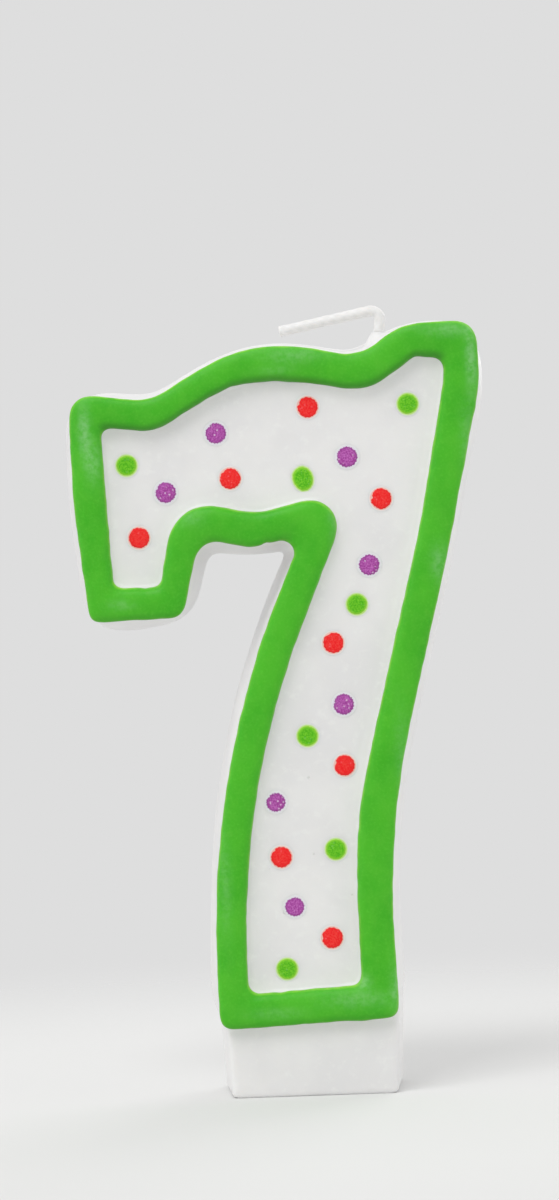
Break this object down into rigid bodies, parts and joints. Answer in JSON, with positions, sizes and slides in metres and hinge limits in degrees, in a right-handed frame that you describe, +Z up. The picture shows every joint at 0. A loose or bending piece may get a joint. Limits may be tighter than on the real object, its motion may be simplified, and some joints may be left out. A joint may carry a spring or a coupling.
{
  "type": "number birthday candle",
  "caption": "Moulded wax cake candle shaped as the number seven, with a raised coloured border, coloured dots on its face, a plain foot and a folded cotton wick.",
  "frame": {"origin": "centre of the foot's flat bottom, half way through the candle's thickness", "axes": "+Z up the candle, -Y out of its decorated front, +X to the right seen from the front"},
  "size_m": [0.0421, 0.012, 0.0773],
  "materials": {
    "white_wax": "satin translucent paraffin wax, white",
    "green_wax": "thick dipped coat of satin green wax",
    "red_wax": "thin pad of red coloured wax",
    "purple_wax": "thin pad of purple coloured wax",
    "green_dot_wax": "thin pad of light green coloured wax",
    "waxed_cotton": "white braided cotton stiffened with wax"
  },
  "bodies": {
    "root": {"wax_body": "white_wax", "green_border": "green_wax", "wick": "waxed_cotton", "dot_red_1": "red_wax", "dot_red_2": "red_wax", "dot_red_3": "red_wax", "dot_red_4": "red_wax", "dot_red_5": "red_wax", "dot_red_6": "red_wax", "dot_red_7": "red_wax", "dot_red_8": "red_wax", "dot_purple_1": "purple_wax", "dot_purple_2": "purple_wax", "dot_purple_3": "purple_wax", "dot_purple_4": "purple_wax", "dot_purple_5": "purple_wax", "dot_purple_6": "purple_wax", "dot_purple_7": "purple_wax", "dot_green_1": "green_dot_wax", "dot_green_2": "green_dot_wax", "dot_green_3": "green_dot_wax", "dot_green_4": "green_dot_wax", "dot_green_5": "green_dot_wax", "dot_green_6": "green_dot_wax", "dot_green_7": "green_dot_wax"}
  },
  "joints": []
}
